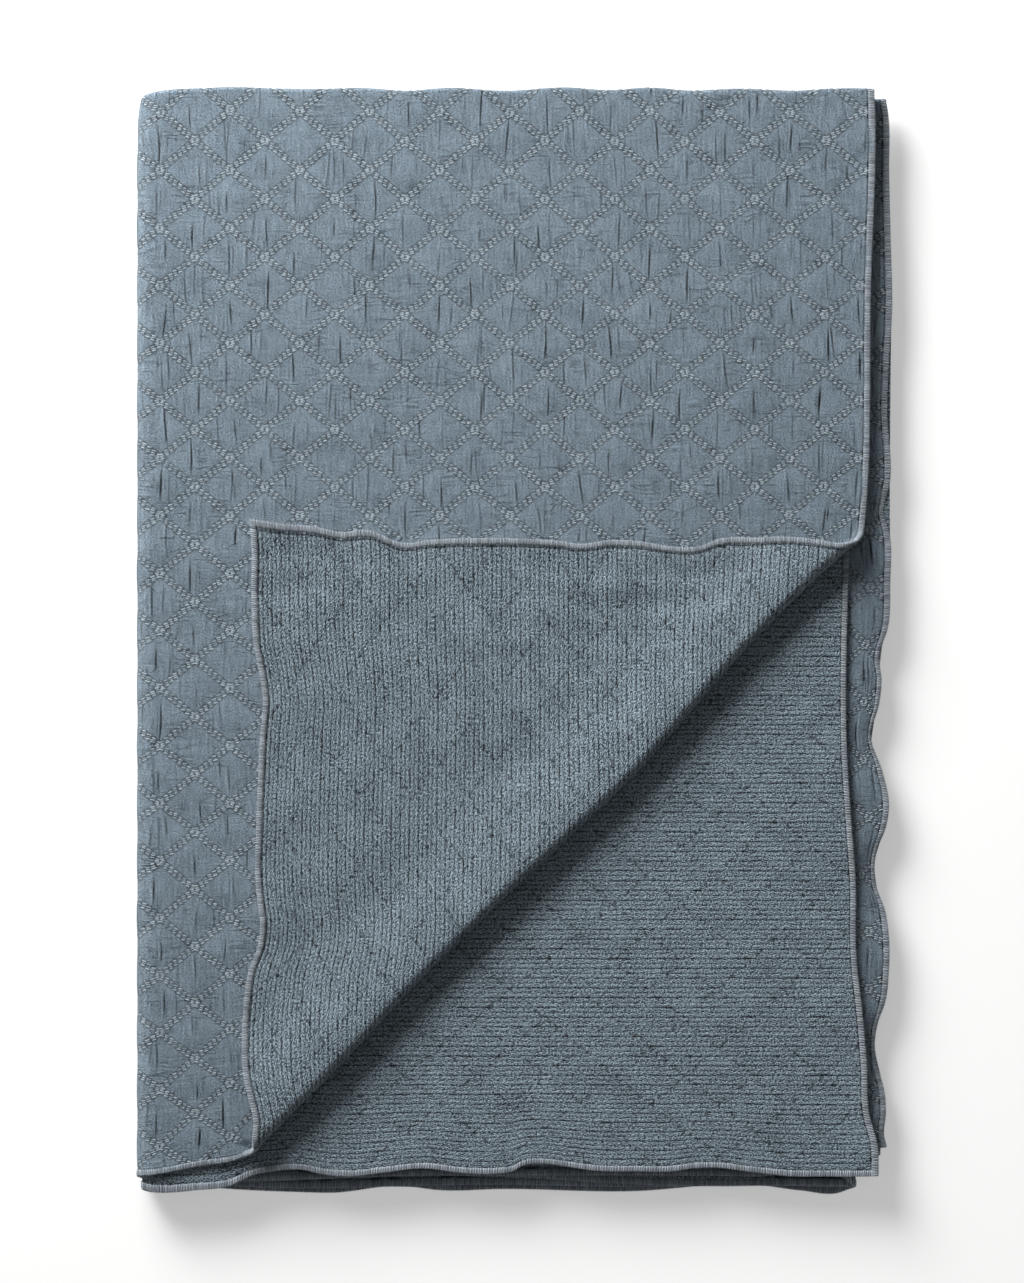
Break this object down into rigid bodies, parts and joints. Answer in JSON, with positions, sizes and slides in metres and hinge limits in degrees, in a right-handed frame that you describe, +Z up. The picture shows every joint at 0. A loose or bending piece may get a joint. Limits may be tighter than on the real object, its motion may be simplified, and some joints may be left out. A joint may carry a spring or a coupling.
{
  "type": "folded coverlet",
  "caption": "Quilted coverlet of double-woven cotton with overlocked edges, folded into a flat stack of layers with one corner turned back.",
  "frame": {"origin": "centre of the bounding box at its base, on the underside of the lowest layer", "axes": "+X to the raw side edges, +Y to the top fold, +Z up"},
  "size_m": [0.6048, 0.8861, 0.0423],
  "materials": {
    "cotton": "matt double-woven cotton, slate blue-grey, twill face and ribbed back",
    "overlock_thread": "matt spun thread, a lighter grey than the cloth"
  },
  "bodies": {
    "root": {"coverlet": "cotton"}
  },
  "joints": []
}
